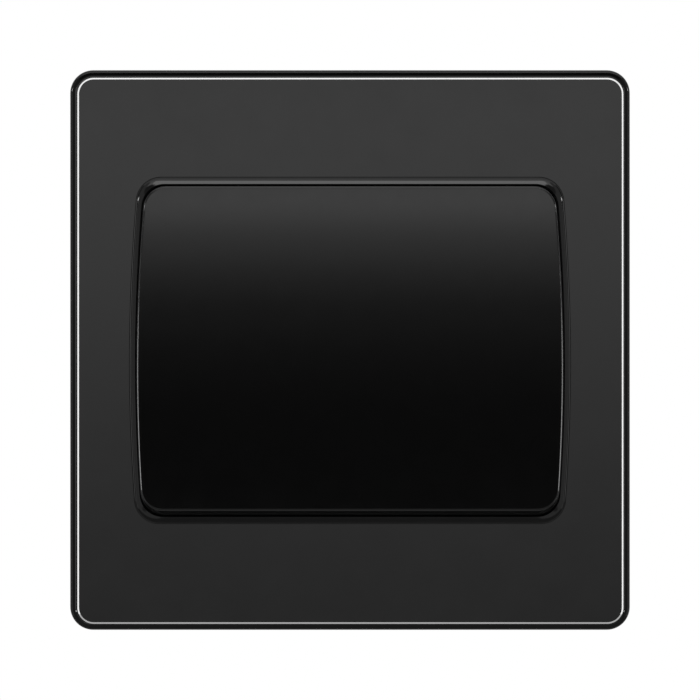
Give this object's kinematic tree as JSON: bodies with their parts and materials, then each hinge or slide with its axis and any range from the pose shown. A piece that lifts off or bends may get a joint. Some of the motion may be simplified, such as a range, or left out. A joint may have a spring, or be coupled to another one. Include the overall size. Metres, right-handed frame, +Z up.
{
  "type": "rocker light switch",
  "caption": "Square wall light switch with a dark metal clip-on plate, a gloss black tray and one wide dished rocker, with its contact mechanism behind.",
  "frame": {"origin": "centre of the plate on the wall plane, midway between the two fixing screws", "axes": "+X right and +Z up as seen from the room, front faces -Y, +Y goes into the wall"},
  "size_m": [0.095, 0.0324, 0.095],
  "materials": {
    "dark_chrome_plate": "mirror, dark plated, with a bright bevel",
    "black_gloss_moulding": "gloss",
    "black_gloss_rocker": "gloss",
    "black_moulding": "satin",
    "grey_moulding": "satin",
    "white_moulding": "satin",
    "natural_nylon": "satin",
    "spring_steel": "bright rolled",
    "plated_steel": "zinc plated",
    "copper_alloy": "rolled",
    "brass": "machined",
    "silver_alloy": "polished"
  },
  "bodies": {
    "base": {"mounting_frame": "grey_moulding", "plate_clips": "spring_steel", "fixing_screws": "plated_steel", "mechanism_housing": "white_moulding", "housing_screws": "plated_steel", "com_terminal": "brass", "l1_terminal": "brass", "l2_terminal": "brass", "terminal_screws": "plated_steel", "fixed_contact_tips": "silver_alloy", "earth_terminal": "brass", "earth_screw": "plated_steel", "earth_spring": "copper_alloy"},
    "cover": {"front_plate": "dark_chrome_plate", "plate_carrier": "black_gloss_moulding"},
    "rocker": {"rocker_cap": "black_gloss_rocker", "dolly": "black_moulding", "plunger_spring": "spring_steel"},
    "plunger_pin": {"plunger": "natural_nylon"},
    "see_saw": {"rocking_contact": "copper_alloy", "moving_contact_tips": "silver_alloy"}
  },
  "joints": [
    {"name": "rocker_tilt", "type": "hinge", "parent": "base", "child": "rocker", "pos_m": [0, -0.00594, 0], "axis": [1, 0, 0], "range_deg": [0, 8]},
    {"name": "see_saw_tilt", "type": "hinge", "parent": "base", "child": "see_saw", "pos_m": [0, 0.011, 0], "axis": [1, 0, 0], "range_deg": [-16, 0]},
    {"name": "plunger_slide", "type": "slide", "parent": "rocker", "child": "plunger_pin", "axis": [0, -0.9976, 0.0698], "range_m": [0, 0.001], "stiffness_N_per_m": 900, "springref_m": -0.001, "deforming": ["plunger_spring"]},
    {"name": "cover_pull_off", "type": "slide", "parent": "base", "child": "cover", "axis": [0, -1, 0], "range_m": [0, 0.012], "deforming": ["plate_clips", "earth_spring"]}
  ],
  "couplings": [
    {"joint": "see_saw_tilt", "follows": "rocker_tilt", "ratio": -2}
  ]
}
